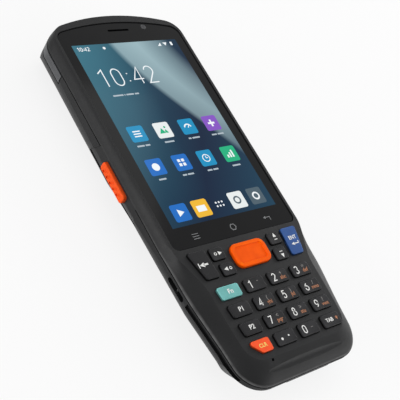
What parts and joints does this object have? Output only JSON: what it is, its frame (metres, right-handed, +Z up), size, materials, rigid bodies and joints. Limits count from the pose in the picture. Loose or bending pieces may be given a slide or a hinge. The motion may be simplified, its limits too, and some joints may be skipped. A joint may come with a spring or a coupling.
{
  "type": "portable data terminal",
  "caption": "Handheld barcode data terminal: slab body with an arched head, touch display over a numeric keypad, side scan triggers, rear battery door and a foot port flap.",
  "frame": {"origin": "bottom centre of the box round the terminal, on the surface its back lies on", "axes": "+X to the terminal's right side, +Y towards its head end, +Z up out of the display"},
  "size_m": [0.0702, 0.166, 0.0203],
  "materials": {
    "housing": "fine texture",
    "cap": "fine texture",
    "window": "smooth, deep red-black",
    "module": "moulded",
    "glass": "polished cover glass, black backed",
    "film": "polymer film",
    "panel": "sheet frame",
    "alloy": "cast",
    "board": "solder mask",
    "steel": "plated",
    "mat": "silicone",
    "trigger": "smooth orange",
    "key_dark": "soft satin",
    "key_teal": "soft satin",
    "key_blue": "soft satin",
    "key_red": "soft satin",
    "battery": "sleeve",
    "contact": "plated contacts",
    "lens": "frosted",
    "mesh": "woven, dark",
    "flap": "soft",
    "seal": "silicone cord"
  },
  "bodies": {
    "terminal": {"front_housing": "housing", "rear_housing": "housing", "top_cap": "cap", "scan_window": "window", "scan_engine": "module", "touch_glass": "glass", "glass_adhesive": "film", "display_module": "panel", "chassis": "alloy", "main_board": "board", "shield_cans": "steel", "dome_sheet": "film", "keypad_mat": "mat", "side_switches": "module", "battery": "battery", "battery_contacts": "contact", "door_pin": "steel", "camera_window": "window", "camera_module": "module", "flash_lens": "lens", "loudspeaker": "module", "speaker_mesh": "mesh", "earpiece": "module", "earpiece_mesh": "mesh", "front_camera": "module", "usb_connector": "steel", "flap_pin": "steel", "charge_contacts": "contact", "lanyard_pins": "steel", "housing_screws": "steel", "seal_gasket": "seal"},
    "key_0_cap": {"key_0": "key_dark"},
    "key_1_cap": {"key_1": "key_dark"},
    "key_2_cap": {"key_2": "key_dark"},
    "key_3_cap": {"key_3": "key_dark"},
    "key_4_cap": {"key_4": "key_dark"},
    "key_5_cap": {"key_5": "key_dark"},
    "key_6_cap": {"key_6": "key_dark"},
    "key_7_cap": {"key_7": "key_dark"},
    "key_8_cap": {"key_8": "key_dark"},
    "key_9_cap": {"key_9": "key_dark"},
    "key_point_cap": {"key_point": "key_dark"},
    "key_tab_cap": {"key_tab": "key_dark"},
    "key_function_cap": {"key_function": "key_teal"},
    "key_p1_cap": {"key_p1": "key_dark"},
    "key_p2_cap": {"key_p2": "key_dark"},
    "key_clear_cap": {"key_clear": "key_red"},
    "key_back_cap": {"key_back": "key_dark"},
    "key_enter_cap": {"key_enter": "key_blue"},
    "key_up_cap": {"key_up": "key_dark"},
    "key_down_cap": {"key_down": "key_dark"},
    "key_left_cap": {"key_left": "key_dark"},
    "key_right_cap": {"key_right": "key_dark"},
    "key_scan_cap": {"key_scan": "trigger"},
    "trigger_left_cap": {"trigger_left": "trigger"},
    "trigger_right_cap": {"trigger_right": "trigger"},
    "power_key_cap": {"power_key": "key_dark"},
    "volume_key_cap": {"volume_key": "key_dark"},
    "door": {"battery_door": "housing"},
    "flap": {"port_flap": "flap"}
  },
  "joints": [
    {"name": "key_0_press", "type": "slide", "parent": "terminal", "child": "key_0_cap", "axis": [0, 0, -1], "range_m": [0, 0.00035], "stiffness_N_per_m": 2500, "springref_m": -0.0001},
    {"name": "key_1_press", "type": "slide", "parent": "terminal", "child": "key_1_cap", "axis": [0, 0, -1], "range_m": [0, 0.00035], "stiffness_N_per_m": 2500, "springref_m": -0.0001},
    {"name": "key_2_press", "type": "slide", "parent": "terminal", "child": "key_2_cap", "axis": [0, 0, -1], "range_m": [0, 0.00035], "stiffness_N_per_m": 2500, "springref_m": -0.0001},
    {"name": "key_3_press", "type": "slide", "parent": "terminal", "child": "key_3_cap", "axis": [0, 0, -1], "range_m": [0, 0.00035], "stiffness_N_per_m": 2500, "springref_m": -0.0001},
    {"name": "key_4_press", "type": "slide", "parent": "terminal", "child": "key_4_cap", "axis": [0, 0, -1], "range_m": [0, 0.00035], "stiffness_N_per_m": 2500, "springref_m": -0.0001},
    {"name": "key_5_press", "type": "slide", "parent": "terminal", "child": "key_5_cap", "axis": [0, 0, -1], "range_m": [0, 0.00035], "stiffness_N_per_m": 2500, "springref_m": -0.0001},
    {"name": "key_6_press", "type": "slide", "parent": "terminal", "child": "key_6_cap", "axis": [0, 0, -1], "range_m": [0, 0.00035], "stiffness_N_per_m": 2500, "springref_m": -0.0001},
    {"name": "key_7_press", "type": "slide", "parent": "terminal", "child": "key_7_cap", "axis": [0, 0, -1], "range_m": [0, 0.00035], "stiffness_N_per_m": 2500, "springref_m": -0.0001},
    {"name": "key_8_press", "type": "slide", "parent": "terminal", "child": "key_8_cap", "axis": [0, 0, -1], "range_m": [0, 0.00035], "stiffness_N_per_m": 2500, "springref_m": -0.0001},
    {"name": "key_9_press", "type": "slide", "parent": "terminal", "child": "key_9_cap", "axis": [0, 0, -1], "range_m": [0, 0.00035], "stiffness_N_per_m": 2500, "springref_m": -0.0001},
    {"name": "key_point_press", "type": "slide", "parent": "terminal", "child": "key_point_cap", "axis": [0, 0, -1], "range_m": [0, 0.00035], "stiffness_N_per_m": 2500, "springref_m": -0.0001},
    {"name": "key_tab_press", "type": "slide", "parent": "terminal", "child": "key_tab_cap", "axis": [0, 0, -1], "range_m": [0, 0.00035], "stiffness_N_per_m": 2500, "springref_m": -0.0001},
    {"name": "key_function_press", "type": "slide", "parent": "terminal", "child": "key_function_cap", "axis": [0, 0, -1], "range_m": [0, 0.00035], "stiffness_N_per_m": 2500, "springref_m": -0.0001},
    {"name": "key_p1_press", "type": "slide", "parent": "terminal", "child": "key_p1_cap", "axis": [0, 0, -1], "range_m": [0, 0.00035], "stiffness_N_per_m": 2500, "springref_m": -0.0001},
    {"name": "key_p2_press", "type": "slide", "parent": "terminal", "child": "key_p2_cap", "axis": [0, 0, -1], "range_m": [0, 0.00035], "stiffness_N_per_m": 2500, "springref_m": -0.0001},
    {"name": "key_clear_press", "type": "slide", "parent": "terminal", "child": "key_clear_cap", "axis": [0, 0, -1], "range_m": [0, 0.00035], "stiffness_N_per_m": 2500, "springref_m": -0.0001},
    {"name": "key_back_press", "type": "slide", "parent": "terminal", "child": "key_back_cap", "axis": [0, 0, -1], "range_m": [0, 0.00035], "stiffness_N_per_m": 2500, "springref_m": -0.0001},
    {"name": "key_enter_press", "type": "slide", "parent": "terminal", "child": "key_enter_cap", "axis": [0, 0, -1], "range_m": [0, 0.00035], "stiffness_N_per_m": 2500, "springref_m": -0.0001},
    {"name": "key_up_press", "type": "slide", "parent": "terminal", "child": "key_up_cap", "axis": [0, 0, -1], "range_m": [0, 0.00035], "stiffness_N_per_m": 2500, "springref_m": -0.0001},
    {"name": "key_down_press", "type": "slide", "parent": "terminal", "child": "key_down_cap", "axis": [0, 0, -1], "range_m": [0, 0.00035], "stiffness_N_per_m": 2500, "springref_m": -0.0001},
    {"name": "key_left_press", "type": "slide", "parent": "terminal", "child": "key_left_cap", "axis": [0, 0, -1], "range_m": [0, 0.00035], "stiffness_N_per_m": 2500, "springref_m": -0.0001},
    {"name": "key_right_press", "type": "slide", "parent": "terminal", "child": "key_right_cap", "axis": [0, 0, -1], "range_m": [0, 0.00035], "stiffness_N_per_m": 2500, "springref_m": -0.0001},
    {"name": "key_scan_press", "type": "slide", "parent": "terminal", "child": "key_scan_cap", "axis": [0, 0, -1], "range_m": [0, 0.00035], "stiffness_N_per_m": 2500, "springref_m": -0.0001},
    {"name": "trigger_left_press", "type": "slide", "parent": "terminal", "child": "trigger_left_cap", "axis": [1, 0, 0], "range_m": [0, 0.0005], "stiffness_N_per_m": 2500, "springref_m": -0.0002},
    {"name": "trigger_right_press", "type": "slide", "parent": "terminal", "child": "trigger_right_cap", "axis": [-1, 0, 0], "range_m": [0, 0.0005], "stiffness_N_per_m": 2500, "springref_m": -0.0002},
    {"name": "power_key_press", "type": "slide", "parent": "terminal", "child": "power_key_cap", "axis": [-1, 0, 0], "range_m": [0, 0.0003], "stiffness_N_per_m": 2500, "springref_m": -0.0001},
    {"name": "volume_key_press", "type": "slide", "parent": "terminal", "child": "volume_key_cap", "axis": [-1, 0, 0], "range_m": [0, 0.0003], "stiffness_N_per_m": 2500, "springref_m": -0.0001},
    {"name": "door_hinge", "type": "hinge", "parent": "terminal", "child": "door", "pos_m": [0, 0.04645, 0.00085], "axis": [1, 0, 0], "range_deg": [0, 90]},
    {"name": "flap_hinge", "type": "hinge", "parent": "terminal", "child": "flap", "pos_m": [0.002, -0.07825, 0.00814], "axis": [1, 0, 0], "range_deg": [0, 95]}
  ]
}
